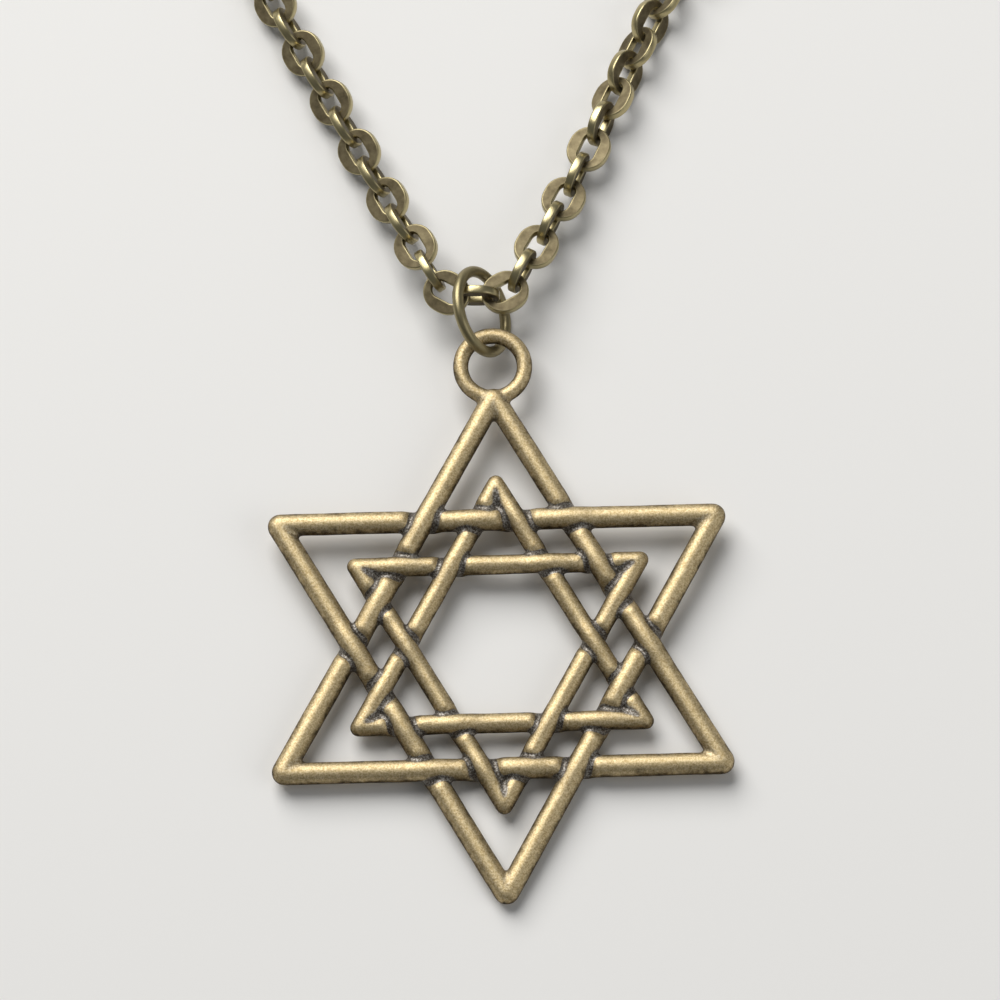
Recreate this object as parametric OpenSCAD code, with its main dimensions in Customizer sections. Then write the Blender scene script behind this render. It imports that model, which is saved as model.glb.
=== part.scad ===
// Interlaced six-pointed star on a cable chain necklace, lying face up on a table.
// The table is z = 0, the star's foot points to -Y and the clasp lies at +Y.

/* [Star] */
// Distance from the star's middle to the middle of an outer corner
outer_reach = 19.2; // [17:0.1:22]
// Inner star as a share of the outer one
inner_share = 0.637; // [0.61:0.001:0.67]
// Thickness of the outer bars
outer_bar = 1.7; // [1.55:0.05:1.85]
// Thickness of the inner bars
inner_bar = 1.52; // [1.4:0.02:1.66]
// How far a bar rises or dips where two bars cross
weave = 0.31; // [0.2:0.01:0.36]
// Rounding inside the corners
corner_round = 0.13; // [0.1:0.01:0.2]

/* [Hanging loop] */
// Outer width of the loop
loop_w = 6.08; // [5.6:0.02:6.6]
// Thickness of the loop's round band
loop_band = 1.2; // [1.1:0.02:1.3]

/* [Jump ring] */
// Outer width of the jump ring
ring_w = 7.2; // [6.9:0.05:7.8]
// Wire of the jump ring
ring_wire = 0.86; // [0.7:0.01:0.92]
// Lean of the ring away from lying flat
ring_lean = 55.5; // [53:0.5:58]
// Turn of the ring about the upright
ring_turn = 4.8; // [2:0.1:8]

/* [Chain] */
// Length of a link
link_long = 3.86; // [3.7:0.02:4.1]
// Width of a link
link_wide = 3.3; // [3.15:0.01:3.45]
// Width of the flattened wire in the plane of the link
wire_wide = 0.7; // [0.62:0.01:0.74]
// Thickness of the flattened wire
wire_thick = 0.64; // [0.55:0.01:0.66]
// Free play between two hooked links
link_play = 0.14; // [0.12:0.01:0.2]
// Pairs of links on each side of the necklace
link_pairs = 46; // [40:1:56]
// Angle of each chain side from the middle line
side_angle = 28.5; // [27:0.5:32]
// How far the right side sags out of straight
sag = 1.3; // [0:0.1:1.6]

/* [Clasp and end rings] */
// Outer width of an end ring
end_ring_w = 4.3; // [4.2:0.05:4.8]
// Wire of an end ring
end_ring_wire = 0.7; // [0.6:0.01:0.75]
// Width of the clasp's body
clasp_w = 4.8; // [4.6:0.1:5.4]
// Distance from the claw's round end to the eye, middle to middle
clasp_reach = 8.4; // [8:0.1:9.5]
// Thickness of the claw and the eye
claw_thick = 1.2; // [1.1:0.05:1.4]

/* [Hidden] */
$fn = 48;
brass = [0.62, 0.53, 0.35];
dark_brass = [0.5, 0.43, 0.29];

// Clear gaps, and the overlap that casts the loop to the star
ring_gap = 0.2;
loop_drop = 0.08;
loop_sink = 0.1;
link_slack = 0.03;
end_lift = 0.05;
clasp_gap = 0.15;
clasp_back = 0.12;
table_gap = 0.01;

inner_reach = outer_reach * inner_share;
corner_steps = 5;
bar_sides = 12;

// A side of either star is crossed four times: far and near, on both halves
outer_far = outer_reach / 2 / sqrt(3);
outer_near = (inner_reach / 2 - outer_reach / 4) / sin(60);
inner_far = (outer_reach / 2 - inner_reach / 4) / sin(60);
inner_near = inner_reach / 2 / sqrt(3);

// The loop's lower band lies under the tip of the star
loop_r = (loop_w - loop_band) / 2;
loop_y = outer_reach + outer_bar / 2 - corner_round + loop_r - loop_band / 2 - loop_sink;

// Jump ring: it stands on its lowest point and leans
ring_r = (ring_w - ring_wire) / 2;
ring_z = ring_r * sin(ring_lean) + ring_wire / 2;

// Turns a point of the ring's own flat frame into the table frame
function tip_over(p) = let (
  a = [p.x * cos(ring_lean) + p.z * sin(ring_lean), p.y, p.z * cos(ring_lean) - p.x * sin(ring_lean)]
) [a.x * cos(ring_turn) - a.y * sin(ring_turn), a.x * sin(ring_turn) + a.y * cos(ring_turn), a.z];

// The middle link of the chain sits inside the ring, above its middle
knot = tip_over([-0.125, 0.4, -0.045] * ring_r);
knot_z = ring_z + knot.z;

// The loop's band passes the ring's plane near the ring's lower end
band_at = -71.9;
band_turn = 6.15;
band_reach = ring_r - ring_wire / 2 - loop_band / 2 - ring_gap;
band = tip_over([cos(band_at), sin(band_at), 0] * band_reach);
star_turn = 1.5;

// Height of the loop, from which the star's slope follows
loop_z = ring_z + band.z - loop_drop;
star_slope = asin((loop_z - outer_bar / 2) / (outer_reach + loop_y));
star_z = outer_reach * sin(star_slope) + outer_bar / 2;

// Chain: the pitch leaves the play between two hooked wires
pitch = link_long - 2 * wire_wide - link_play;
end_bar = (link_long - wire_wide) / 2;
bow_r = (link_wide - wire_wide) / 2;
bow_at = (link_long - link_wide) / 2;
side_links = 2 * round(link_pairs) + 1;
climb = 90 - side_angle;
hook = bow_r - wire_wide - link_play - link_slack;

// The first links turn into each side: a flat link swings about its bow, an upright one about its end
function toward(a) = [cos(a), sin(a)];
bend_1 = end_bar * toward(0) + hook * toward(climb / 4) + bow_at * toward(climb / 2);
bend_2 = bend_1 + bow_at * toward(climb / 2) + hook * toward(climb * 3 / 4) + end_bar * toward(climb);

// End rings stand upright, so their wires pass the flat last link and the flat clasp
end_r = (end_ring_w - end_ring_wire) / 2;
end_z = end_ring_w / 2;
clasp_z = 1.7;
last_z = link_wide / 2 + end_lift;
function wire_out(z) = sqrt(pow(end_r, 2) - pow(end_z - z, 2));
wire_at_link = wire_out(last_z);
wire_at_clasp = wire_out(clasp_z);
link_hold = (wire_wide + end_ring_wire) / 2 + link_play + 2 * link_slack;

// The ring's wire leans in over the clasp's thickness
wire_lean = wire_at_clasp - wire_out(clasp_z - claw_thick / 2) + link_play;
claw_bar = clasp_w / 4.8;
claw_hold = (claw_bar + end_ring_wire) / 2 + clasp_gap + wire_lean;
eye_bar = 0.9;
eye_hole = 1;
eye_hold = (eye_bar + end_ring_wire) / 2 + clasp_gap + wire_lean;
claw_x = -clasp_reach * 0.38;
eye_x = claw_x + clasp_reach;
ring_left_x = claw_x - clasp_w / 2 + claw_bar / 2 + claw_hold - wire_at_clasp;
ring_right_x = eye_x + eye_hole + eye_bar / 2 - eye_hold + wire_at_clasp;
last_left = ring_left_x - wire_at_link + link_hold - end_bar;
last_right = ring_right_x + wire_at_link - link_hold + end_bar;
end_x = (last_right - last_left) / 2;
clasp_x = -(last_right + last_left) / 2;

// Necklace route on the table: two straight sides and one wide bow at the back.
// Its few chosen numbers are the side angle and the number of links.
run = (side_links - 2) * pitch;
bow_share = sin(climb) / cos(climb) + (180 - climb) * PI / 180;
bow_guess = (run + bend_2.x / cos(climb) + end_x) / bow_share;
back_r = (run + bend_2.x / cos(climb) + bow_guess * asin(end_x / bow_guess) * PI / 180) / bow_share;
straight = (back_r * sin(climb) - bend_2.x) / cos(climb);
back_y = bend_2.y + straight * sin(climb) + back_r * cos(climb);

// The whole necklace is moved so that the table frame's middle is its own
clasp_y = back_y + back_r - clasp_back;
loop_from_knot = tip_over([cos(band_at), sin(band_at), 0] * band_reach)
  - tip_over([-0.125, 0.4, -0.045] * ring_r)
  - loop_r * [-sin(star_turn + band_turn), cos(star_turn + band_turn) * cos(star_slope), 0];
star_x = loop_from_knot.x + loop_y * cos(star_slope) * sin(star_turn);
star_y = loop_from_knot.y - loop_y * cos(star_slope) * cos(star_turn);
foot_y = star_y - (outer_reach + outer_bar / 2 - corner_round) * cos(star_slope);
lay = [0, -(clasp_y + clasp_w / 2 + foot_y) / 2, 0];

function ease(x, a, b) = let (t = min(max((x - a) / (b - a), 0), 1)) t * t * (3 - 2 * t);

// Share of the weave at distance d from a crossing: full under the other bar, none away from it
function swell(d, w) = let (t = min(max((abs(d) - 0.3 * w) / (0.75 * w), 0), 1)) 0.5 + 0.5 * cos(180 * t);

// Height of a bar's middle at place s of a side, first = 1 where the first crossing goes over
function bar_z(s, far, near, w, first) = first * weave
  * (swell(s + far, w) - swell(s + near, w) + swell(s - near, w) - swell(s - far, w));

// Stations along one side, close together where the bar swells
function stations(far, near, w) = let (
  half = [far + 1.05 * w, far + 0.62 * w, far + 0.3 * w, far - 0.3 * w, far - 0.62 * w,
    (far + near) / 2, near + 0.62 * w, near + 0.3 * w, near - 0.3 * w, near - 0.62 * w]
) concat(-half, [0], [for (i = [9:-1:0]) half[i]]);

// One section of the bar, v across and z up, before it is set on the path
function section(w) = [for (j = [0:bar_sides - 1])
  let (a = 360 * (j + 0.5) / bar_sides) w / 2 / cos(180 / bar_sides) * [cos(a), sin(a)]];

// Closed loop of sections around one triangle. On the sides the section is carried straight,
// at the corners it swings through 120 degrees around an inner point.
function triangle_points(reach, far, near, w, first) = [for (k = [0:2])
  let (
    foot = 210 + 120 * k,
    out = [cos(foot), sin(foot)],
    along = [-sin(foot), cos(foot)],
    tip = reach * [cos(foot + 60), sin(foot + 60)]
  )
  each concat(
    [for (s = stations(far, near, w)) [for (q = section(w))
      let (p = out * (reach / 2 - q[0]) + along * s) [p.x, p.y, q[1] + bar_z(s, far, near, w, first)]]],
    [for (c = [0:corner_steps]) let (
      a = foot + 120 * c / corner_steps,
      inward = -[cos(a), sin(a)],
      back = -tip / reach
    ) [for (q = section(w)) let (
      rho = corner_round + max(0, -q[0]),
      p = tip + back * 2 * (q[0] + rho) - inward * rho
    ) [p.x, p.y, q[1]]]]
  )];

// Woven triangle: reach to a corner, bar thickness and the weave's first sign
module triangle(reach, far, near, w, first) {
  loops = triangle_points(reach, far, near, w, first);
  count = len(loops);
  polyhedron(
    points = [for (r = loops) each r],
    faces = [for (i = [0:count - 1]) for (j = [0:bar_sides - 1]) let (
      a = i * bar_sides + j,
      b = i * bar_sides + (j + 1) % bar_sides,
      c = ((i + 1) % count) * bar_sides + (j + 1) % bar_sides,
      d = ((i + 1) % count) * bar_sides + j
    ) each [[a, c, b], [a, d, c]]],
    convexity = 10
  );
}

// Star cast in one with its loop, flat in its own frame
module star_body() {
  triangle(outer_reach, outer_far, outer_near, outer_bar, 1);
  triangle(inner_reach, inner_far, inner_near, inner_bar, -1);
  rotate([0, 0, 180]) triangle(outer_reach, outer_far, outer_near, outer_bar, 1);
  rotate([0, 0, 180]) triangle(inner_reach, inner_far, inner_near, inner_bar, -1);
  translate([0, loop_y, 0]) wire_ring(loop_r, loop_band);
}

// Star, leaning on the jump ring with its loop end
module star() {
  color(brass)
  translate([star_x, star_y, star_z] + lay) rotate([star_slope, 0, star_turn]) star_body();
}

// Closed ring of round wire, lying flat
module wire_ring(r, wire) {
  rotate_extrude() translate([r, 0]) circle(d = wire, $fn = 24);
}

// Jump ring, leaning with its lowest point on the table
module jump_ring() {
  color(dark_brass)
  translate([-knot.x, -knot.y, ring_z] + lay)
    rotate([0, ring_lean, ring_turn]) wire_ring(ring_r, ring_wire);
}

// Flattened wire: a round wire with its two faces rolled flat
module wire_section() {
  intersection() {
    circle(d = wire_wide, $fn = 24);
    square([wire_wide * 2, wire_thick], center = true);
  }
}

// One link, flat, with its length along X
module link() {
  for (m = [-1, 1]) {
    translate([m * bow_at, 0, 0]) rotate([0, 0, -90 * m])
      rotate_extrude(angle = 180) translate([bow_r, 0]) wire_section();
    translate([-bow_at, m * bow_r, 0]) rotate([90, 0, 90])
      linear_extrude(height = 2 * bow_at) wire_section();
  }
}

// Sideways sag of a side at length s from its start, over a run of some 22 links
sag_run = 22.4 * pitch;
function sag_at(s, start) = let (t = min(max((s - start) / sag_run, 0), 1)) sag * pow(sin(180 * t), 2);
function sag_turn(s, start) = atan((sag_at(s + 0.1, start) - sag_at(s - 0.1, start)) / 0.2);

// Place of link k on the right side, and its heading
function place(k, start) =
  k == 0 ? [0, 0] :
  k == 1 ? bend_1 :
  let (s = (k - 2) * pitch, turn = climb + max(0, s - straight) / back_r * 180 / PI)
  s < straight
    ? bend_2 + s * [cos(climb), sin(climb)] + sag_at(s, start) * [sin(climb), -cos(climb)] * -1
    : [back_r * sin(turn), back_y - back_r * cos(turn)];
function heading(k, start) =
  k == 0 ? 0 :
  k == 1 ? climb / 2 :
  let (s = (k - 2) * pitch)
  s < straight ? climb + sag_turn(s, start) : climb + (s - straight) / back_r * 180 / PI;

// Twist of the chain about its own line: positive turns the top towards the wearer's left.
// It is let out again along the second third of each side.
unroll = [0.37, 0.58] * side_links;
function twist(i) = i >= 0
  ? -5 * ease(i, 0, 1) - 38 * ease(i, 6, 11) + 43 * ease(i, unroll[0], unroll[1])
  : 13 * ease(-i, 0, 1) + 12 * ease(-i, 1, 5) - 25 * ease(-i, unroll[0], unroll[1]);

// Height of link i: the upright links stand on the table, the first ones climb into the ring
function rest_z(i) = bow_r * cos(twist(i)) + wire_wide / 2 + table_gap;
function link_z(i) = rest_z(i)
  + (knot_z - rest_z(0)) * (0.5 + 0.5 * cos(180 * min(abs(i) / 7, 1)))
  + (last_z - rest_z(i)) * ease(abs(i), side_links - 6, side_links);

// Link i, counted from the middle link: odd links lie flat, even ones stand
module placed_link(i) {
  side = i < 0 ? -1 : 1;
  start = (i < 0 ? 15.5 : 0.86) * pitch;
  p = place(abs(i), start);
  rise = atan((link_z(i + 1) - link_z(i - 1)) / (2 * pitch));
  translate([side * p.x, p.y, link_z(i)] + lay)
    rotate([0, -rise, side * heading(abs(i), start)])
    rotate([twist(i) + (i % 2 == 0 ? 90 : 0), 0, 0]) link();
}

// Chain half on the left of the picture
module chain_left() {
  color(dark_brass)
  for (i = [-side_links:-1]) placed_link(i);
}

// Chain half on the right, with the middle link that passes the jump ring
module chain_right() {
  color(dark_brass)
  for (i = [0:side_links]) placed_link(i);
}

// Upright ring at a chain end, at distance x from the middle line
module end_ring(x) {
  y = back_y + sqrt(pow(back_r, 2) - pow(x, 2));
  translate([x, y, end_z] + lay) rotate([0, 0, -asin(x / back_r)])
    rotate([90, 0, 0]) wire_ring(end_r, end_ring_wire);
}

module end_ring_left() {
  color(dark_brass)
  end_ring(ring_left_x + clasp_x);
}

module end_ring_right() {
  color(dark_brass)
  end_ring(ring_right_x + clasp_x);
}

// Outline of two discs joined by their outer tangents, the first at x1 and the second at x2.
// The straight part's corners lie just inside the discs, so the outlines cross cleanly.
module pear(x1, r1, x2, r2) {
  lean = acos((r1 - r2) / (x2 - x1));
  translate([x1, 0]) circle(r = r1);
  translate([x2, 0]) circle(r = r2);
  polygon([for (q = [[x1, r1, 1], [x1, r1, -1], [x2, r2, -1], [x2, r2, 1]])
    [q[0] + 0.995 * q[1] * cos(lean), 0.995 * q[2] * q[1] * sin(lean)]]);
}

// Lobster clasp in one piece, flat, its claw to the left and its eye to the right
module clasp() {
  color(dark_brass)
  translate([clasp_x, clasp_y, clasp_z] + lay) difference() {
    union() {
      translate([0, 0, -claw_thick / 2]) linear_extrude(height = claw_thick)
        pear(claw_x, clasp_w / 2, claw_x + clasp_reach * 0.62, clasp_w * 0.34);
      translate([claw_x + clasp_reach * 0.58, 0, 0]) cylinder(h = 2 * clasp_z, r = clasp_w * 0.3, center = true);
      translate([eye_x, 0, 0]) cylinder(h = claw_thick, r = eye_hole + eye_bar, center = true);
      translate([claw_x + clasp_reach * 0.42, -clasp_w * 0.4, 0])
        cylinder(h = claw_thick * 0.8, r = clasp_w * 0.13, center = true);
    }
    translate([0, 0, -claw_thick]) linear_extrude(height = 2 * claw_thick)
      pear(claw_x, clasp_w / 2 - claw_bar, claw_x + clasp_reach * 0.36, clasp_w * 0.13);
    translate([eye_x, 0, 0]) cylinder(h = 3 * claw_thick, r = eye_hole, center = true);
    translate([claw_x, -clasp_w / 2, 0]) rotate([0, 0, 25])
      cube([0.2, claw_bar * 2.2, claw_thick * 2], center = true);
  }
}

star();
jump_ring();
chain_left();
chain_right();
end_ring_left();
end_ring_right();
clasp();
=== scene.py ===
"""Six-pointed star pendant on a cable chain, laid on a table.

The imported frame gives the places; every visible piece below is a surface worked out with numpy
in millimetres and stored in metres, and stands in for the plain solid of the same name.
"""

import math

import bpy
import numpy as np
from mathutils import Matrix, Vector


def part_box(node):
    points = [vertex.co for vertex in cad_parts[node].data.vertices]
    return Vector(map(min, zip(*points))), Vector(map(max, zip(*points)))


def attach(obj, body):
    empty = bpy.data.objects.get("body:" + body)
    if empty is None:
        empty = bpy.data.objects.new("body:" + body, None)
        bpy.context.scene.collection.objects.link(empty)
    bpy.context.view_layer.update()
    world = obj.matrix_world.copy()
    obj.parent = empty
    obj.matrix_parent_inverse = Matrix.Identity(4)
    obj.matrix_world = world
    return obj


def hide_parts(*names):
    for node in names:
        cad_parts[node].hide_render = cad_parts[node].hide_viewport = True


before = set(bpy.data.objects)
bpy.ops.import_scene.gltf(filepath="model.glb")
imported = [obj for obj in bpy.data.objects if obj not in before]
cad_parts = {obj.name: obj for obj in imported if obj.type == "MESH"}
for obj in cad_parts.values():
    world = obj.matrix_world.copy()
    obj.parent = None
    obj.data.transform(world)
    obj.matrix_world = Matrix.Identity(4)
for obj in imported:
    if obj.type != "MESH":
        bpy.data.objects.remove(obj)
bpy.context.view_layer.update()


# Star

# The star and its round loop are one zinc casting: two large and two small triangles of round
# bar, woven over and under each other and run together where they cross. It was plated in
# antique brass, darkened, and rubbed bright again on everything that stands proud.

MM = 0.001
OUTER_REACH, INNER_SHARE = 19.2, 0.637
INNER_REACH = OUTER_REACH * INNER_SHARE
OUTER_BAR, INNER_BAR = 1.7, 1.52
RISE_OVER, DIP_UNDER = 0.17, 0.46
# Where a rise or dip is full and where it has run out, in bar widths from the crossing
RISE_SPAN, DIP_SPAN = (0.1, 1.45), (0.46, 0.92)
OUTER_TIP_ROUND, INNER_TIP_ROUND = 1.0, 0.68
CORNER_ROUND, CORNER_STEPS = 0.13, 13
# How far before a corner the straight side stops, in bar widths
SIDE_STOP = 0.9
# Depth of the flat back below the straight bars' undersides
BACK_DEPTH = 0.3
LOOP_WIDE, LOOP_BAND, LOOP_SINK = 6.08, 1.2, 0.1
STAR_AT = (1.833, -92.476, 1.609)
STAR_SLOPE, STAR_TURN = 2.266, 1.5
STAR_VOXEL, STAR_ROUNDS, HOLLOW_ROUNDS = 0.15, 2, 12
# The open corners start this far from the middle, are full after so much more, and are there
# rubbed at least as much as a surface of this crown height
OPEN_FROM, OPEN_OVER, OPEN_CROWN = 13.2, 2, 0.014
# Height, size and seed of each of the cast skin's waves
SKIN_WAVES = ((0.013, 2.6, 1), (0.010, 1.1, 2), (0.007, 0.45, 3))


def turn_about(axis, degrees):
    """Right-handed rotation matrix about X, Y or Z."""
    c, s = math.cos(math.radians(degrees)), math.sin(math.radians(degrees))
    i, j = {"x": (1, 2), "y": (2, 0), "z": (0, 1)}[axis]
    m = np.eye(3)
    m[i, i], m[i, j], m[j, i], m[j, j] = c, -s, s, c
    return m


def closed_sheet(rows, cols, start=0):
    """Faces of a grid of points that closes on itself both ways: each cell joins a point, the
    next along its row, the one diagonally on, and the next along its column."""
    i, j = np.meshgrid(np.arange(rows), np.arange(cols), indexing="ij")
    i2, j2 = (i + 1) % rows, (j + 1) % cols
    return start + np.stack([i * cols + j, i2 * cols + j, i2 * cols + j2, i * cols + j2], -1).reshape(-1, 4)


def ring_of_wire(radius, wire, around=96, across=24):
    """Torus: a circle of the wire's radius, carried round a circle of the ring's radius."""
    a = np.linspace(0, 2 * np.pi, around, endpoint=False)[:, None]
    b = np.linspace(0, 2 * np.pi, across, endpoint=False)[None, :]
    out = radius + wire / 2 * np.cos(b)
    points = np.stack([out * np.cos(a), out * np.sin(a), wire / 2 * np.sin(b) + 0 * a], -1)
    return points.reshape(-1, 3), closed_sheet(around, across)


def weave_at(distance, bar, over):
    """Height of a bar near a crossing, in mm. Going over, it rises in one long low arch; going
    under, it keeps its level up to the other bar and then dips steeply. Both are half cosines
    of the distance from the crossing."""
    (start, end), height = (RISE_SPAN, RISE_OVER) if over else (DIP_SPAN, -DIP_UNDER)
    t = np.clip((np.abs(distance) / bar - start) / (end - start), 0, 1)
    return height * (0.5 + 0.5 * np.cos(np.pi * t))


def woven_triangle(reach, bar, crossings, first, tip_round, spacing=0.12, across=28):
    """Round bar bent into a triangle. On a side the section is carried straight and lifted or
    dipped by the weave at its four crossings; at a corner it swings through 120 degrees about a
    point just inside, which leaves the inner corner sharp and the outer one round, fully so
    where the tip's roundness is 1."""
    far, near = crossings
    half = reach * math.cos(math.radians(30)) - bar * SIDE_STOP
    s = np.linspace(-half, half, int(2 * half / spacing))
    b = np.linspace(0, 2 * np.pi, across, endpoint=False)
    side, up = bar / 2 * np.cos(b), bar / 2 * np.sin(b)
    rows = []
    for k in range(3):
        foot = math.radians(210 + 120 * k)
        out = np.array([math.cos(foot), math.sin(foot)])
        along = np.array([-out[1], out[0]])
        lift = sum(weave_at(s - at, bar, sign * first > 0)
                   for at, sign in ((-far, 1), (-near, -1), (near, 1), (far, -1)))
        flat = out * (reach / 2 - side[None, :, None]) + along * s[:, None, None]
        rows.append(np.concatenate([flat, (up[None, :] + lift[:, None])[..., None]], -1))
        tip = reach * np.array([math.cos(foot + math.pi / 3), math.sin(foot + math.pi / 3)])
        a = foot + np.linspace(0, 2 * np.pi / 3, CORNER_STEPS)
        inward = -np.stack([np.cos(a), np.sin(a)], -1)
        rho = CORNER_ROUND + tip_round * np.maximum(0, -side)
        flat = tip - tip / reach * 2 * (side + rho)[None, :, None] - inward[:, None, :] * rho[None, :, None]
        level = np.broadcast_to(up, (CORNER_STEPS, across))
        rows.append(np.concatenate([flat, level[..., None]], -1))
    points = np.concatenate(rows)
    return points.reshape(-1, 3), closed_sheet(len(points), across)[:, ::-1]


def add_mesh(name, points, faces):
    """Object at the origin from an array of points in mm and an array of faces."""
    mesh = bpy.data.meshes.new(name)
    mesh.from_pydata((np.asarray(points) * MM).tolist(), [], np.asarray(faces).tolist())
    mesh.update()
    piece = bpy.data.objects.new(name, mesh)
    bpy.context.scene.collection.objects.link(piece)
    return piece


def points_of(piece):
    """Points of a piece's mesh, in mm."""
    flat = np.empty(len(piece.data.vertices) * 3)
    piece.data.vertices.foreach_get("co", flat)
    return flat.reshape(-1, 3) / MM


def value_noise(points, size, seed):
    """Smooth noise from -1 to 1: a random number at each corner of a grid of cells of the given
    size in mm, mixed by the cubic ease of the place within the cell."""
    q = points / size
    cell = np.floor(q).astype(np.int64)
    f = q - cell
    f = f * f * (3 - 2 * f)
    total = np.zeros(len(points))
    for corner in np.ndindex(2, 2, 2):
        c = cell + np.array(corner)
        h = (c[:, 0] * 73856093) ^ (c[:, 1] * 19349663) ^ (c[:, 2] * 83492791) ^ (seed * 2654435761)
        h = (h ^ (h >> 13)) * 1274126177 & 0xFFFFFFFF
        h = (h ^ (h >> 16)) & 0xFFFF
        weight = np.prod(np.where(np.array(corner) == 1, f, 1 - f), axis=1)
        total += weight * (h / 32767.5 - 1)
    return total


def spread(piece, values, rounds):
    """Averages each point's value with those of the points it shares an edge with, again and
    again."""
    flat = np.empty(len(piece.data.edges) * 2, dtype=np.int64)
    piece.data.edges.foreach_get("vertices", flat)
    a, b = flat[0::2], flat[1::2]
    n = len(values)
    count = np.maximum(np.bincount(a, minlength=n) + np.bincount(b, minlength=n), 1)[:, None]
    v = values.reshape(n, -1).astype(float)
    for _ in range(rounds):
        total = np.stack([
            np.bincount(a, weights=v[b, i], minlength=n) + np.bincount(b, weights=v[a, i], minlength=n)
            for i in range(v.shape[1])
        ], -1)
        v = 0.5 * v + 0.5 * total / count
    return v.reshape(values.shape)


def normals_of(piece):
    """Outward direction at each point of a piece's mesh."""
    flat = np.empty(len(piece.data.vertices) * 3)
    piece.data.vertices.foreach_get("normal", flat)
    return flat.reshape(-1, 3)


def set_points(piece, points):
    """Puts a piece's points at the given places in mm."""
    piece.data.vertices.foreach_set("co", (points * MM).ravel())
    piece.data.update()


def keep_value(piece, name, values):
    """Stores one number a point for the material to read."""
    layer = piece.data.attributes.new(name, "FLOAT", "POINT")
    layer.data.foreach_set("value", values.astype(np.float32))


def linear(hex_code):
    """Linear red, green, blue and alpha of an sRGB hex colour."""
    rgb = np.array([int(hex_code[i:i + 2], 16) for i in (1, 3, 5)]) / 255
    return (*np.where(rgb <= 0.04045, rgb / 12.92, ((rgb + 0.055) / 1.055) ** 2.4), 1.0)


def add_node(tree, kind, settings=None, links=None):
    """Adds a node. Settings are properties or values of sockets by name or number; links are
    outputs of other nodes, by the name or number of the socket they go to."""
    node = tree.nodes.new(kind)
    for key, value in (settings or {}).items():
        if isinstance(key, str) and hasattr(node, key):
            setattr(node, key, value)
        else:
            node.inputs[key].default_value = value
    for key, output in (links or {}).items():
        tree.links.new(output, node.inputs[key])
    return node


outer_far = OUTER_REACH / 2 / math.sqrt(3)
outer_near = (INNER_REACH / 2 - OUTER_REACH / 4) / math.sin(math.radians(60))
inner_far = (OUTER_REACH / 2 - INNER_REACH / 4) / math.sin(math.radians(60))
inner_near = INNER_REACH / 2 / math.sqrt(3)
half_turn = turn_about("z", 180)
loop_radius = (LOOP_WIDE - LOOP_BAND) / 2
loop_middle = OUTER_REACH + OUTER_BAR / 2 - CORNER_ROUND + loop_radius - LOOP_BAND / 2 - LOOP_SINK

bars = []
for half_star in (np.eye(3), half_turn):
    for reach, bar, crossings, first, tip_round in (
        (OUTER_REACH, OUTER_BAR, (outer_far, outer_near), 1, OUTER_TIP_ROUND),
        (INNER_REACH, INNER_BAR, (inner_far, inner_near), -1, INNER_TIP_ROUND),
    ):
        points, faces = woven_triangle(reach, bar, crossings, first, tip_round)
        # The back of the casting is flat where a bar dips
        points[:, 2] = np.maximum(points[:, 2], -OUTER_BAR / 2 - BACK_DEPTH)
        bars.append((points @ half_star.T, faces))
points, faces = ring_of_wire(loop_radius, LOOP_BAND)
bars.append((points + [0, loop_middle, 0], faces))


def fused(name, parts, voxel, rounds):
    """Runs closed surfaces into one cast skin, in mm: all are cut into cubes of the given size
    and skinned again, then a few rounds of averaging leave small fillets where they meet."""
    starts = np.cumsum([0] + [len(points) for points, _ in parts])
    piece = add_mesh(
        name,
        np.concatenate([points for points, _ in parts]) / MM,
        np.concatenate([faces + start for (_, faces), start in zip(parts, starts)]),
    )
    skin = piece.modifiers.new("skin", "REMESH")
    skin.mode = "VOXEL"
    skin.voxel_size = voxel
    fresh = bpy.data.meshes.new_from_object(piece.evaluated_get(bpy.context.evaluated_depsgraph_get()))
    piece.modifiers.clear()
    piece.data = fresh
    set_points(piece, points_of(piece) * MM)
    set_points(piece, spread(piece, points_of(piece), rounds))
    return piece


star = fused("star_casting", bars, STAR_VOXEL, STAR_ROUNDS)
flat_points = points_of(star)
out = normals_of(star)
# A point's height above the averaged surface: above zero on crowns, below it in hollows
hollow = np.einsum("ij,ij->i", flat_points - spread(star, flat_points, HOLLOW_ROUNDS), out)
# The rubbing also reached into the open corners at the tips and beside the loop
open_corner = np.clip((np.linalg.norm(flat_points[:, :2], axis=1) - OPEN_FROM) / OPEN_OVER, 0, 1)
hollow = np.maximum(hollow, hollow * (1 - open_corner) + OPEN_CROWN * open_corner)
rough_skin = sum(height * value_noise(flat_points, size, seed) for height, size, seed in SKIN_WAVES)
set_points(star, flat_points + out * rough_skin[:, None])
keep_value(star, "hollow", hollow)
# How squarely each point faces up or down: the material keeps the tops gold and darkens the sides by it,
# partly as painted shade
keep_value(star, "crown", np.abs(out[:, 2]))
place = turn_about("z", STAR_TURN) @ turn_about("x", STAR_SLOPE)
set_points(star, points_of(star) @ place.T + np.array(STAR_AT))
star.data.shade_smooth()


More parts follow.
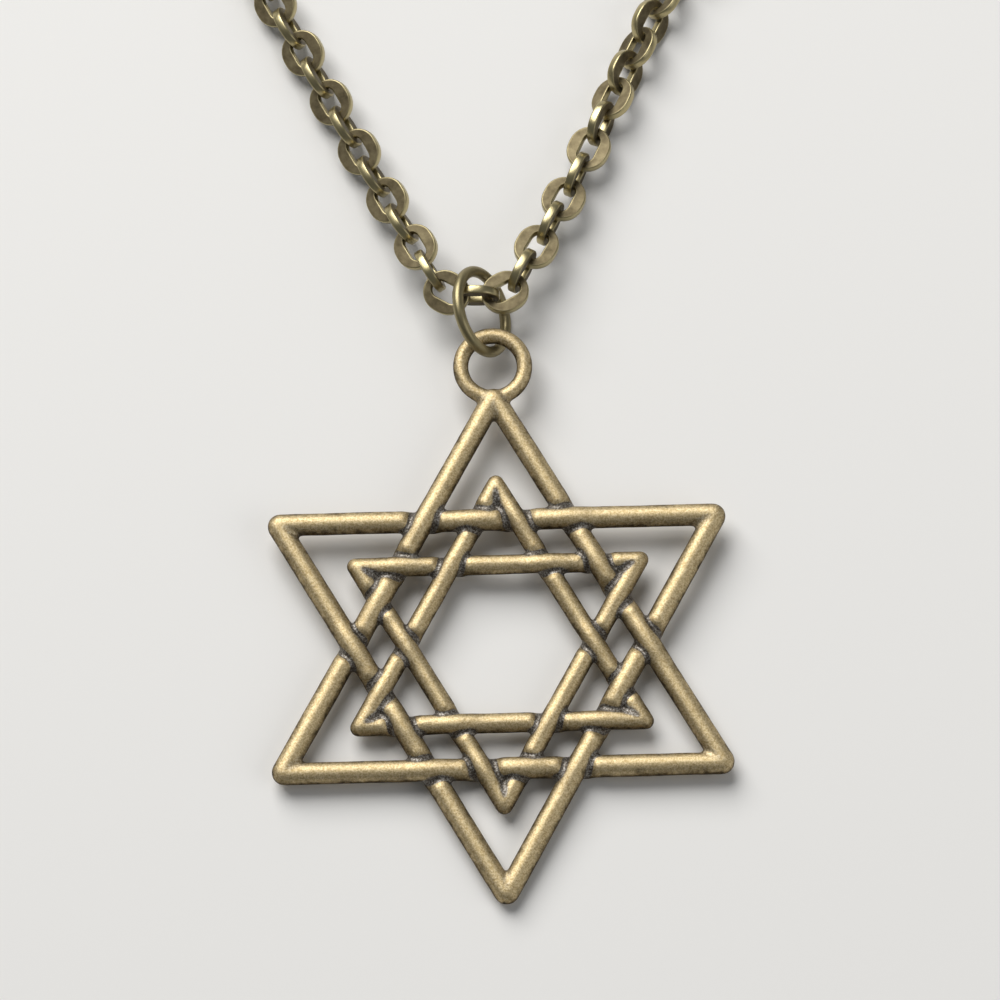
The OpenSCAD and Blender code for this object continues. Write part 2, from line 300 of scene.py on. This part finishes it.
def antique_brass():
    """Cast zinc plated in antique brass: rubbed tops are a pale champagne gold and half matt,
    the sides of the bars keep a brown oxide whose dark tone is partly painted shade, the hollows
    a darker one with specks of bare grey zinc, and the sand of the mould leaves fine pits of about
    0.15 mm."""
    material = bpy.data.materials.new("antique_brass_casting")
    material.use_nodes = True
    tree = material.node_tree
    tree.nodes.clear()
    place = add_node(tree, "ShaderNodeTexCoord").outputs["Object"]
    hollow = add_node(tree, "ShaderNodeAttribute", {"attribute_name": "hollow"}).outputs["Fac"]
    crown = add_node(tree, "ShaderNodeAttribute", {"attribute_name": "crown"}).outputs["Fac"]
    # Scales are a count for each metre: pits of 0.14 mm, mottle of 0.4 mm, worn patches of 1.5 mm
    grain = add_node(tree, "ShaderNodeTexNoise",
                     {"Scale": 7000.0, "Detail": 3.0, "Roughness": 0.75}, {"Vector": place})
    mottle = add_node(tree, "ShaderNodeTexNoise",
                      {"Scale": 2400.0, "Detail": 4.0, "Roughness": 0.7}, {"Vector": place})
    patch = add_node(tree, "ShaderNodeTexNoise",
                     {"Scale": 650.0, "Detail": 3.0, "Roughness": 0.6}, {"Vector": place})

    def blend(factor, low, high):
        """Mixes two colours, each a hex code or another node's output."""
        mix = add_node(tree, "ShaderNodeMix", {"data_type": "RGBA"}, {"Factor": factor})
        for socket, colour in ((6, low), (7, high)):
            if isinstance(colour, str):
                mix.inputs[socket].default_value = linear(colour)
            else:
                tree.links.new(colour, mix.inputs[socket])
        return mix.outputs[2]

    def shifted(value, noise, amount):
        """A value with some noise about zero added, so that its borders are ragged."""
        centred = add_node(tree, "ShaderNodeMath",
                           {"operation": "MULTIPLY_ADD", 1: amount, 2: -amount / 2}, {0: noise})
        total = add_node(tree, "ShaderNodeMath", {"operation": "ADD"},
                         {0: value, 1: centred.outputs[0]})
        return total.outputs[0]

    def stepped(value, low, high):
        """From 0 to 1 by a smooth step as a value goes from the low level to the high one."""
        return add_node(tree, "ShaderNodeMapRange", {
            "interpolation_type": "SMOOTHSTEP", "From Min": low, "From Max": high,
        }, {"Value": value}).outputs[0]

    # Tops that face straight up or down are rubbed gold; the sides get the dark oxide, which there is partly
    # painted shade
    wear_and_painted_light = shifted(shifted(crown, mottle.outputs["Fac"], 0.8), patch.outputs["Fac"], 1.0)
    rubbed = stepped(wear_and_painted_light, 0.12, 0.86)
    proud = stepped(shifted(hollow, mottle.outputs["Fac"], 0.014), -0.004, 0.024)
    gold = blend(stepped(grain.outputs["Fac"], 0.32, 0.66), "#A89164", "#DAC8A1")
    # Dark oxide of the bars' sides, partly painted shade
    oxide_and_painted_shade = blend(stepped(mottle.outputs["Fac"], 0.35, 0.65), "#332812", "#5A4828")
    bar = blend(rubbed, oxide_and_painted_shade, gold)
    bare = blend(stepped(grain.outputs["Fac"], 0.42, 0.66), "#574F45", "#A39F98")
    rough = add_node(tree, "ShaderNodeMapRange", {"To Min": 0.6, "To Max": 0.53}, {"Value": rubbed})
    pits = add_node(tree, "ShaderNodeBump", {"Strength": 0.9, "Distance": 0.00003},
                    {"Height": grain.outputs["Fac"]})
    metal = add_node(tree, "ShaderNodeBsdfPrincipled", {"Metallic": 1.0}, {
        "Base Color": blend(proud, bare, bar), "Roughness": rough.outputs[0],
        "Normal": pits.outputs["Normal"]})
    add_node(tree, "ShaderNodeOutputMaterial", {}, {"Surface": metal.outputs["BSDF"]})
    return material


star.data.materials.append(antique_brass())
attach(star, "root")
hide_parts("star")


# Jump ring

# One turn of round brass wire, cut, closed with pliers and plated with the chain. It passes
# through the star's loop, holds the middle link, and leans with its lowest point on the table.

RING_WIDE, RING_WIRE = 7.2, 0.86
RING_LEAN, RING_TURN = 55.5, 4.8
RING_AT = (0.447, -66.615, 3.042)
RING_CUT = 55
RING_RUBBED = 0.4
# Half the angle that the fine steps round a joint take up, and its depth in wire radii
JOINT_HALF, JOINT_DEPTH = 4, 0.34


def cut_ring(radius, wire, cut_at, around=120, across=24, gap=0.05):
    """Torus with a butt joint: the wire's radius falls by a third within a narrow bell-shaped
    groove round the place where the two ends meet."""
    fine = np.linspace(-JOINT_HALF, JOINT_HALF, 17)
    coarse = np.linspace(JOINT_HALF, 360 - JOINT_HALF, around)[1:-1]
    a = np.radians(np.concatenate([fine, coarse]) + cut_at)[:, None]
    b = np.linspace(0, 2 * np.pi, across, endpoint=False)[None, :]
    from_cut = (np.degrees(a) - cut_at + 180) % 360 - 180
    r = wire / 2 * (1 - JOINT_DEPTH * np.exp(-(np.radians(from_cut) * radius / gap) ** 2))
    out = radius + r * np.cos(b)
    points = np.stack([out * np.cos(a), out * np.sin(a), r * np.sin(b)], -1)
    return points.reshape(-1, 3), closed_sheet(len(a), across)


ring_radius = (RING_WIDE - RING_WIRE) / 2
points, faces = cut_ring(ring_radius, RING_WIRE, RING_CUT)
place = turn_about("z", RING_TURN) @ turn_about("y", RING_LEAN)
jump_ring = add_mesh("jump_ring_wire", points @ place.T + np.array(RING_AT), faces)
jump_ring.data.shade_smooth()


def plated(name, dull, rubbed):
    """Brass with an antique bronze plating: smooth, olive brown and satin, with clouds of thinner
    plating and small dark specks. Where a piece says that it has rims, the plating there is
    rubbed brighter; on the links' edges this lighter colour is also a painted highlight. The two
    numbers are the roughness of dull and of rubbed metal."""
    material = bpy.data.materials.new(name)
    material.use_nodes = True
    tree = material.node_tree
    tree.nodes.clear()
    place = add_node(tree, "ShaderNodeTexCoord").outputs["Object"]
    rim = add_node(tree, "ShaderNodeAttribute", {"attribute_name": "rim"}).outputs["Fac"]
    # Scales are a count for each metre: clouds of 0.9 mm and specks of 0.2 mm
    cloud = add_node(tree, "ShaderNodeTexNoise",
                     {"Scale": 1100.0, "Detail": 4.0, "Roughness": 0.65}, {"Vector": place})
    specks = add_node(tree, "ShaderNodeTexNoise", {"Scale": 5200.0, "Detail": 2.0}, {"Vector": place})
    ramp = add_node(tree, "ShaderNodeValToRGB", {}, {"Fac": cloud.outputs["Fac"]})
    stops = ((0.3, "#4E4634"), (0.5, "#675D47"), (0.7, "#7A7056"))
    while len(ramp.color_ramp.elements) < len(stops):
        ramp.color_ramp.elements.new(0.5)
    for element, (at, colour) in zip(ramp.color_ramp.elements, stops):
        element.position, element.color = at, linear(colour)
    # Lighter colour where a piece has rims: rubbed plating, and on the links' edges also a painted highlight
    wear_and_painted_light = add_node(tree, "ShaderNodeMix", {"data_type": "RGBA"}, {"Factor": rim})
    tree.links.new(ramp.outputs["Color"], wear_and_painted_light.inputs[6])
    wear_and_painted_light.inputs[7].default_value = linear("#C2B589")
    rough = add_node(tree, "ShaderNodeMapRange", {"To Min": dull, "To Max": rubbed}, {"Value": rim})
    pits = add_node(tree, "ShaderNodeBump", {"Strength": 0.35, "Distance": 0.00001},
                    {"Height": specks.outputs["Fac"]})
    metal = add_node(tree, "ShaderNodeBsdfPrincipled", {"Metallic": 1.0}, {
        "Base Color": wear_and_painted_light.outputs[2], "Roughness": rough.outputs[0],
        "Normal": pits.outputs["Normal"]})
    add_node(tree, "ShaderNodeOutputMaterial", {}, {"Surface": metal.outputs["BSDF"]})
    return material


wire_finish = plated("antique_bronze_wire", 0.52, 0.26)
jump_ring.data.materials.append(wire_finish)
keep_value(jump_ring, "rim", np.full(len(points_of(jump_ring)), RING_RUBBED))
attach(jump_ring, "root")
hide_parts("jump_ring")


# Chain

# Cable chain of oval links, bent from round wire, hooked in each other and rolled flat on both
# faces. Each link stands at a right angle to the next, and a slow twist rolls them all; the
# middle one passes the jump ring.

LINK_LONG, LINK_WIDE = 3.86, 3.3
WIRE_WIDE, WIRE_THICK = 0.7, 0.64
LINK_PLAY, HOOK_PLAY, TABLE_PLAY = 0.14, 0.03, 0.01
SIDE_LINKS = 93
CLIMB = 61.5
# The sag's depth, its length in links, and where it starts on the left and right, in links
SAG, SAG_LINKS, SAG_FROM = 1.3, 22.4, (15.5, 0.86)
BACK_RADIUS, BACK_MIDDLE, STRAIGHT_RUN = 58.105, 117.375, 99.623
LAY = -65.380
MIDDLE_RISE, END_RISE = 3.288, 1.7
# How many links rise to the jump ring, and how many to the end rings
RISING_LINKS, ENDING_LINKS = 7, 6
# Each roll of the chain in degrees, and the links that it is eased in between
LET_OUT = 0.37 * SIDE_LINKS, 0.58 * SIDE_LINKS
RIGHT_TWISTS = ((-5, 0, 1), (-38, 6, 11), (43, *LET_OUT))
LEFT_TWISTS = ((13, 0, 1), (12, 1, 5), (-25, *LET_OUT))
# The rolled metal: broad at a link's sides, narrow at its two bows
SHOWN_LONG, SIDE_BAND, BOW_BAND = 3.68, 1.0, 0.62
EDGE_ROUND, EDGE_BORDER = 0.11, 0.05
# The angle above which edges shade sharp, and how much the rims are made lighter: rubbed plating that also
# paints a highlight on the links' edges
SHARP_ANGLE, LINK_RIM_RUB_AND_HIGHLIGHT = 40, 0.75
# The least height of a visible link's mesh above the table
TABLE_CLEAR = 0.001

pitch = LINK_LONG - 2 * WIRE_WIDE - LINK_PLAY
end_bar, bow_radius = (LINK_LONG - WIRE_WIDE) / 2, (LINK_WIDE - WIRE_WIDE) / 2
bow_at = (LINK_LONG - LINK_WIDE) / 2
hook = bow_radius - WIRE_WIDE - LINK_PLAY - HOOK_PLAY


def toward(degrees):
    """Flat direction of length 1 at an angle from X."""
    return np.array([math.cos(math.radians(degrees)), math.sin(math.radians(degrees))])


def ease(x, start, end):
    """Cubic ease from 0 at the start to 1 at the end."""
    t = np.clip((x - start) / (end - start), 0, 1)
    return t * t * (3 - 2 * t)


first_bend = end_bar * toward(0) + hook * toward(CLIMB / 4) + bow_at * toward(CLIMB / 2)
second_bend = first_bend + bow_at * toward(CLIMB / 2) + hook * toward(CLIMB * 3 / 4) + end_bar * toward(CLIMB)


def sag_at(run, start):
    """Sideways sag of a chain side: a squared half wave from its start."""
    return SAG * np.sin(np.pi * np.clip((run - start) / (SAG_LINKS * pitch), 0, 1)) ** 2


def link_places(i):
    """Middle and heading of each link by its count from the middle link, below zero on the left:
    two bends, a straight run with a slight sag, and the wide bow at the back of the neck. The
    left side is the right one mirrored, but for its sag."""
    k = np.abs(i)
    start = np.where(i < 0, *SAG_FROM) * pitch
    run = (k - 2) * pitch
    bow_turn = CLIMB + np.maximum(0, run - STRAIGHT_RUN) / BACK_RADIUS * 180 / np.pi
    a = np.radians(bow_turn)
    straight = second_bend + run[:, None] * toward(CLIMB) + sag_at(run, start)[:, None] * toward(CLIMB + 90)
    bow = np.stack([BACK_RADIUS * np.sin(a), BACK_MIDDLE - BACK_RADIUS * np.cos(a)], -1)
    step = 0.1
    slope = np.degrees(np.arctan((sag_at(run + step, start) - sag_at(run - step, start)) / (2 * step)))
    place = np.where((run < STRAIGHT_RUN)[:, None], straight, bow)
    heading = np.where(run < STRAIGHT_RUN, CLIMB + slope, bow_turn)
    for at, where, angle in ((0, [0, 0], 0), (1, first_bend, CLIMB / 2)):
        place[k == at], heading[k == at] = where, angle
    side = np.where(i < 0, -1, 1)
    return np.stack([place[:, 0] * side, place[:, 1] + LAY], -1), heading * side


def twist_of(i):
    """Roll of the chain about its own line, in degrees, eased in and out along each side."""
    right = sum(turn * ease(i, start, end) for turn, start, end in RIGHT_TWISTS)
    left = sum(turn * ease(-i, start, end) for turn, start, end in LEFT_TWISTS)
    return np.where(i >= 0, right, left)


def height_of(i):
    """Height of each link's middle: standing on the table, rising by half a cosine over the
    first links into the jump ring, and eased to the end rings' level at the back."""
    def rest(n):
        """A link's middle above the table: its bow's radius, tipped by the twist, and half its
        wire."""
        return bow_radius * np.cos(np.radians(twist_of(n))) + WIRE_WIDE / 2 + TABLE_PLAY
    k = np.abs(i)
    near = 0.5 + 0.5 * np.cos(np.pi * np.minimum(k / RISING_LINKS, 1))
    rise = (MIDDLE_RISE - rest(0 * i)) * near
    return rest(i) + rise + (END_RISE - rest(i)) * ease(k, SIDE_LINKS - ENDING_LINKS, SIDE_LINKS)


def link_surface(around, fine):
    """One flat link along X, with the share of rubbed rim, which also stands as a painted highlight
    on the edges, at each point. Its outer rim is two half circles of half the link's width, its hole
    two smaller ones further apart, so the metal is broad at the sides. Between the rims the section
    is a rectangle whose corners are quarter circles where it is fine, with one more row beside them
    to keep the faces flat, and chamfers where it isn't."""
    a = np.linspace(-np.pi / 2, np.pi / 2, around // 2)
    rims = []
    for side_band, bow_band in ((0, 0), (SIDE_BAND, BOW_BAND)):
        radius, end = LINK_WIDE / 2 - side_band, SHOWN_LONG / 2 - bow_band
        right = np.stack([end - radius + radius * np.cos(a), radius * np.sin(a)], -1)
        rims.append(np.concatenate([right, -right]))
    corner = np.radians([0, 30, 60, 90] if fine else [0, 90])
    # Distance in from the rim and height of the faces, over one quarter of the section
    inset = EDGE_ROUND * (1 - np.cos(corner))
    height = WIRE_THICK / 2 - EDGE_ROUND * (1 - np.sin(corner))
    if fine:
        inset = np.append(inset, EDGE_ROUND + EDGE_BORDER)
        height = np.append(height, WIRE_THICK / 2)
    # The rub, which also paints a highlight on the edge, is full on the rim and fades over the rounded edge
    share = np.clip(1.25 - inset / EDGE_ROUND, 0, 1) if fine else np.array([1.0, 0.2])
    inset = np.concatenate([inset, -inset[::-1], -inset, inset[::-1]])
    from_outer = np.repeat([1, 0, 0, 1], len(height))
    height = np.concatenate([height, height[::-1], -height, -height[::-1]])
    share = np.concatenate([share, share[::-1], share, share[::-1]])
    band = rims[0] - rims[1]
    inward = -band / np.linalg.norm(band, axis=1)[:, None]
    rim = np.where(from_outer[None, :, None] == 1, rims[0][:, None, :], rims[1][:, None, :])
    flat = rim + inward[:, None, :] * inset[None, :, None]
    points = np.concatenate([flat, np.broadcast_to(height, (len(flat), len(height)))[..., None]], -1)
    return points.reshape(-1, 3), closed_sheet(len(flat), len(height)), np.tile(share, len(flat))


def lay_links(name, numbers, shown=16):
    """All links of one side in one mesh. Each is turned about its own length by the twist, and
    by a quarter turn more on even numbers, then pitched, headed and set down on its height, or
    as much above as lets its square edges clear the table. The first ones, next to the star,
    have a finer surface than the rest."""
    i = numbers.astype(float)
    places, headings = link_places(i)
    rises = np.degrees(np.arctan((height_of(i + 1) - height_of(i - 1)) / (2 * pitch)))
    rolls = twist_of(i) + np.where(numbers % 2 == 0, 90, 0)
    heights = height_of(i)
    all_points, all_faces, all_rims, start = [], [], [], 0
    for n, at, heading, rise, roll, height in zip(numbers, places, headings, rises, rolls, heights):
        points, faces, rims = link_surface(32, True) if abs(n) <= shown else link_surface(20, False)
        turn = turn_about("z", heading) @ turn_about("y", -rise) @ turn_about("x", roll)
        points = points @ turn.T
        level = max(height, TABLE_CLEAR - points[:, 2].min())
        all_points.append(points + np.array([at[0], at[1], level]))
        all_faces.append(faces + start)
        all_rims.append(rims)
        start += len(points)
    chain = add_mesh(name, np.concatenate(all_points), np.concatenate(all_faces))
    # Rim share for the material: rubbed plating and a painted highlight on the links' edges
    keep_value(chain, "rim", LINK_RIM_RUB_AND_HIGHLIGHT * np.concatenate(all_rims))
    chain.data.shade_smooth()
    chain.data.set_sharp_from_angle(angle=math.radians(SHARP_ANGLE))
    chain.data.materials.append(wire_finish)
    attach(chain, "root")
    return chain


left_links = lay_links("left_links", np.arange(-SIDE_LINKS, 0))
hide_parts("chain_left")
right_links = lay_links("right_links", np.arange(0, SIDE_LINKS + 1))
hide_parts("chain_right")


# End rings

# Two small cut rings of the same plated wire, closed with pliers, join the last link on each
# side to the clasp. They stand upright where the two sides meet at the back of the neck.

END_RING_WIDE, END_RING_WIRE = 4.3, 0.7
END_RING_CUT = 100

end_ring_radius = (END_RING_WIDE - END_RING_WIRE) / 2
for node in ("end_ring_left", "end_ring_right"):
    low, high = (np.array(corner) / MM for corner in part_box(node))
    middle = (low + high) / 2
    points, faces = cut_ring(end_ring_radius, END_RING_WIRE, END_RING_CUT, around=72, across=18)
    turn = turn_about("z", -math.degrees(math.asin(middle[0] / BACK_RADIUS))) @ turn_about("x", 90)
    end_ring = add_mesh(node + "_wire", points @ turn.T + middle, faces)
    end_ring.data.shade_smooth()
    end_ring.data.materials.append(wire_finish)
    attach(end_ring, "root")
    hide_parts(node)


# Clasp

# Lobster clasp: a cast brass claw with a thick body, an eye at its tail and a riveted lever with
# a thumb knob that closes the mouth against a hidden spring. Plated like the chain.

CLASP_WIDE, CLASP_REACH, CLAW_BAR, CLAW_THICK = 4.8, 8.4, 1.0, 1.2
EYE_RADIUS, EYE_BAR = 1.45, 0.9
CLAW_X = -CLASP_REACH * 0.38
BODY_X = CLAW_X + CLASP_REACH * 0.6
KNOB_X = CLAW_X + CLASP_REACH * 0.42
# Half width and half height of each bar, and how blunt its ends are
BODY_HALF, BODY_BLUNT = (CLASP_WIDE * 0.34, 1.5), 2.4
NECK_HALF, NECK_BLUNT = (0.62, 0.6), 2.6
PIN_HALF, PIN_BLUNT = (0.5, 0.5), 8.0
LEVER_HALF = (0.46, 0.55)
KNOB_HALF, KNOB_BLUNT = (0.58, 0.48), 3.0
PIN_LONG, KNOB_LONG = 3.36, 1.1
CLASP_VOXEL, CLASP_ROUNDS = 0.08, 4


def swept(path, side, up, around=20):
    """Oval bar along a flat path: at each point an ellipse stands square to the path, with the
    given half width and half height. Where these fall to nothing the bar ends round."""
    along = np.gradient(path, axis=0)
    along /= np.linalg.norm(along, axis=1)[:, None]
    across = np.stack([-along[:, 1], along[:, 0]], -1)
    b = np.linspace(0, 2 * np.pi, around, endpoint=False)
    flat = path[:, None, :] + across[:, None, :] * (side[:, None] * np.cos(b))[..., None]
    points = np.concatenate([flat, (up[:, None] * np.sin(b))[..., None]], -1)
    return points.reshape(-1, 3), closed_sheet(len(path), around)[:-around, ::-1]


def round_ended(count, blunt):
    """From 0 up to 1 and back to 0 along a bar, as a superellipse: the blunter, the shorter its
    ends."""
    t = np.sin(np.linspace(-np.pi / 2, np.pi / 2, count))
    return t, (1 - np.abs(t) ** blunt) ** (1 / blunt)


def straight_bar(start, end, y, half, blunt):
    """Round-ended oval bar along X, from its start to its end."""
    t, share = round_ended(40, blunt)
    path = np.stack([(start + end) / 2 + t * (end - start) / 2, np.full(len(t), y)], -1)
    return swept(path, share * half[0], share * half[1])


def claw_path(first, last, count=60):
    """Middle line of the claw's round end, from one angle to the other in degrees."""
    a = np.radians(np.linspace(first, last, count))
    radius = (CLASP_WIDE - CLAW_BAR) / 2
    return np.stack([CLAW_X + radius * np.cos(a), radius * np.sin(a)], -1)


def eased(path, count=150, rounds=50):
    """The same flat path in equal steps, its corners rounded by averaging each point with its
    two neighbours again and again. Its ends stay."""
    along = np.concatenate([[0], np.cumsum(np.linalg.norm(np.diff(path, axis=0), axis=1))])
    even = np.linspace(0, along[-1], count)
    points = np.stack([np.interp(even, along, path[:, i]) for i in (0, 1)], -1)
    for _ in range(rounds):
        points[1:-1] = (points[:-2] + 2 * points[1:-1] + points[2:]) / 4
    return points


hook_line = eased(np.concatenate([
    np.array([[BODY_X - 0.3, 0.95], [BODY_X - 1.6, 1.22], [CLAW_X + 1.3, 1.66]]), claw_path(62, 270)]))
reach_along = np.linspace(0, 1, len(hook_line))
# The hook's tip is round over the last 7 % of its length, and so are both ends of the lever
taper = np.sqrt(np.clip(1 - np.clip((reach_along - 0.93) / 0.07, 0, 1) ** 2, 1e-6, 1))
hook_bar = swept(hook_line, taper * CLAW_BAR / 2, taper * CLAW_THICK / 2)
eye = ring_of_wire(EYE_RADIUS, EYE_BAR, 64, 20)
eye = (eye[0] + [CLAW_X + CLASP_REACH, 0, 0], eye[1])
pin, pin_faces = straight_bar(-PIN_LONG / 2, PIN_LONG / 2, 0, PIN_HALF, PIN_BLUNT)
clasp = fused("clasp_casting", [
    hook_bar,
    eye,
    straight_bar(BODY_X - 2.5, BODY_X + 1.95, 0.05, BODY_HALF, BODY_BLUNT),
    straight_bar(BODY_X + 1.2, BODY_X + 2.9, 0, NECK_HALF, NECK_BLUNT),
    (pin @ turn_about("y", 90).T + [BODY_X - 0.2, 0, 0], pin_faces),
], CLASP_VOXEL, CLASP_ROUNDS)

lever_line = eased(np.concatenate([claw_path(268, 300, 20), np.array([
    [CLAW_X + 1.6, -1.62], [CLAW_X + 2.4, -1.5], [BODY_X - 1.9, -1.4], [BODY_X - 1.2, -1.3],
    [BODY_X - 0.5, -1.15],
])]))
share = np.sqrt(np.clip(1 - np.linspace(-1, 1, len(lever_line)) ** 10, 1e-6, 1))
t, knob_share = round_ended(24, KNOB_BLUNT)
knob_line = np.stack([KNOB_X + KNOB_LONG / 2 * t, np.full(len(t), -CLASP_WIDE * 0.4)], -1)
lever = fused("clasp_lever", [
    swept(lever_line, share * LEVER_HALF[0], share * LEVER_HALF[1]),
    swept(knob_line, knob_share * KNOB_HALF[0], knob_share * KNOB_HALF[1]),
], CLASP_VOXEL, CLASP_ROUNDS)

cast_finish = plated("antique_bronze_casting", 0.44, 0.3)
low, high = (np.array(corner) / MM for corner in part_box("clasp"))
# Where the clasp's own middle lies along X, between the claw's end and the eye's
own_middle = CLAW_X + (CLASP_REACH + EYE_RADIUS + EYE_BAR / 2 - CLASP_WIDE / 2) / 2
clasp_at = np.array([(low[0] + high[0]) / 2 - own_middle, (low[1] + high[1]) / 2, END_RISE])
for part in (clasp, lever):
    set_points(part, points_of(part) + clasp_at)
    part.data.shade_smooth()
    part.data.materials.append(cast_finish)
    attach(part, "root")
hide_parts("clasp")


# Table, light and camera

# A plain pale table, a large soft light from above and behind on the left, a weaker one from
# the right, and a long lens close to the straight-down view.

TABLE_HALF = 700

table_corners = [[x * TABLE_HALF, y * TABLE_HALF, 0] for x, y in ((-1, -1), (1, -1), (1, 1), (-1, 1))]
table = add_mesh("table", table_corners, [[0, 1, 2, 3]])
pale = bpy.data.materials.new("pale_table")
pale.use_nodes = True
pale.node_tree.nodes["Principled BSDF"].inputs["Base Color"].default_value = linear("#E4E2DE")
pale.node_tree.nodes["Principled BSDF"].inputs["Roughness"].default_value = 0.85
table.data.materials.append(pale)


def put_up(name, data, right, up, back, at):
    """Stands a light or camera at a place in mm, with its own X, Y and Z along the three
    directions."""
    thing = bpy.data.objects.new(name, data)
    m = np.eye(4)
    m[:3, 0], m[:3, 1], m[:3, 2], m[:3, 3] = right, up, back, at * MM
    thing.matrix_world = Matrix(m.tolist())
    bpy.context.scene.collection.objects.link(thing)
    return thing


def soft_light(name, at, size, power):
    """Square area light of a size in mm and a power in watts, at a place in mm, facing the
    star's middle."""
    lamp = bpy.data.lights.new(name, "AREA")
    lamp.shape, lamp.size, lamp.energy = "SQUARE", size * MM, power
    place, goal = np.array(at, float), np.array(STAR_AT, float)
    back = (place - goal) / np.linalg.norm(place - goal)
    side = np.cross([0, 0, 1], back)
    side = side / np.linalg.norm(side)
    put_up(name, lamp, side, np.cross(back, side), back, place)


soft_light("window", (-262, 402, 577), 630, 8.2)
soft_light("fill", (330, -200, 260), 300, 0.32)

world = bpy.data.worlds.new("room")
world.use_nodes = True
world.node_tree.nodes["Background"].inputs["Color"].default_value = linear("#DDE2E8")
world.node_tree.nodes["Background"].inputs["Strength"].default_value = 0.2
bpy.context.scene.world = world

CAMERA_RISE = 73.8
CAMERA_AWAY = 400.0
PICTURE_SIDE = 1000
# How far down the picture the star's middle lies, and the focal length, in pixels
STAR_PIXEL, FOCAL_PIXELS = 643.6, 5304.0
SENSOR_WIDE = 36.0

lens = bpy.data.cameras.new("lens")
lens.sensor_width = SENSOR_WIDE
lens.lens = FOCAL_PIXELS * SENSOR_WIDE / PICTURE_SIDE
lens.clip_start, lens.clip_end = 0.01, 10.0
rise = math.radians(CAMERA_RISE)
back = np.array([0, -math.cos(rise), math.sin(rise)])
up = np.array([0, math.sin(rise), math.cos(rise)])
# The star's middle lies below the picture's middle, so the camera looks a little past it
aim = np.array(STAR_AT) + up * (STAR_PIXEL - PICTURE_SIDE / 2) / FOCAL_PIXELS * CAMERA_AWAY
camera = put_up("camera", lens, [1, 0, 0], up, back, aim + back * CAMERA_AWAY)
bpy.context.scene.camera = camera
bpy.context.scene.view_settings.view_transform = "Standard"
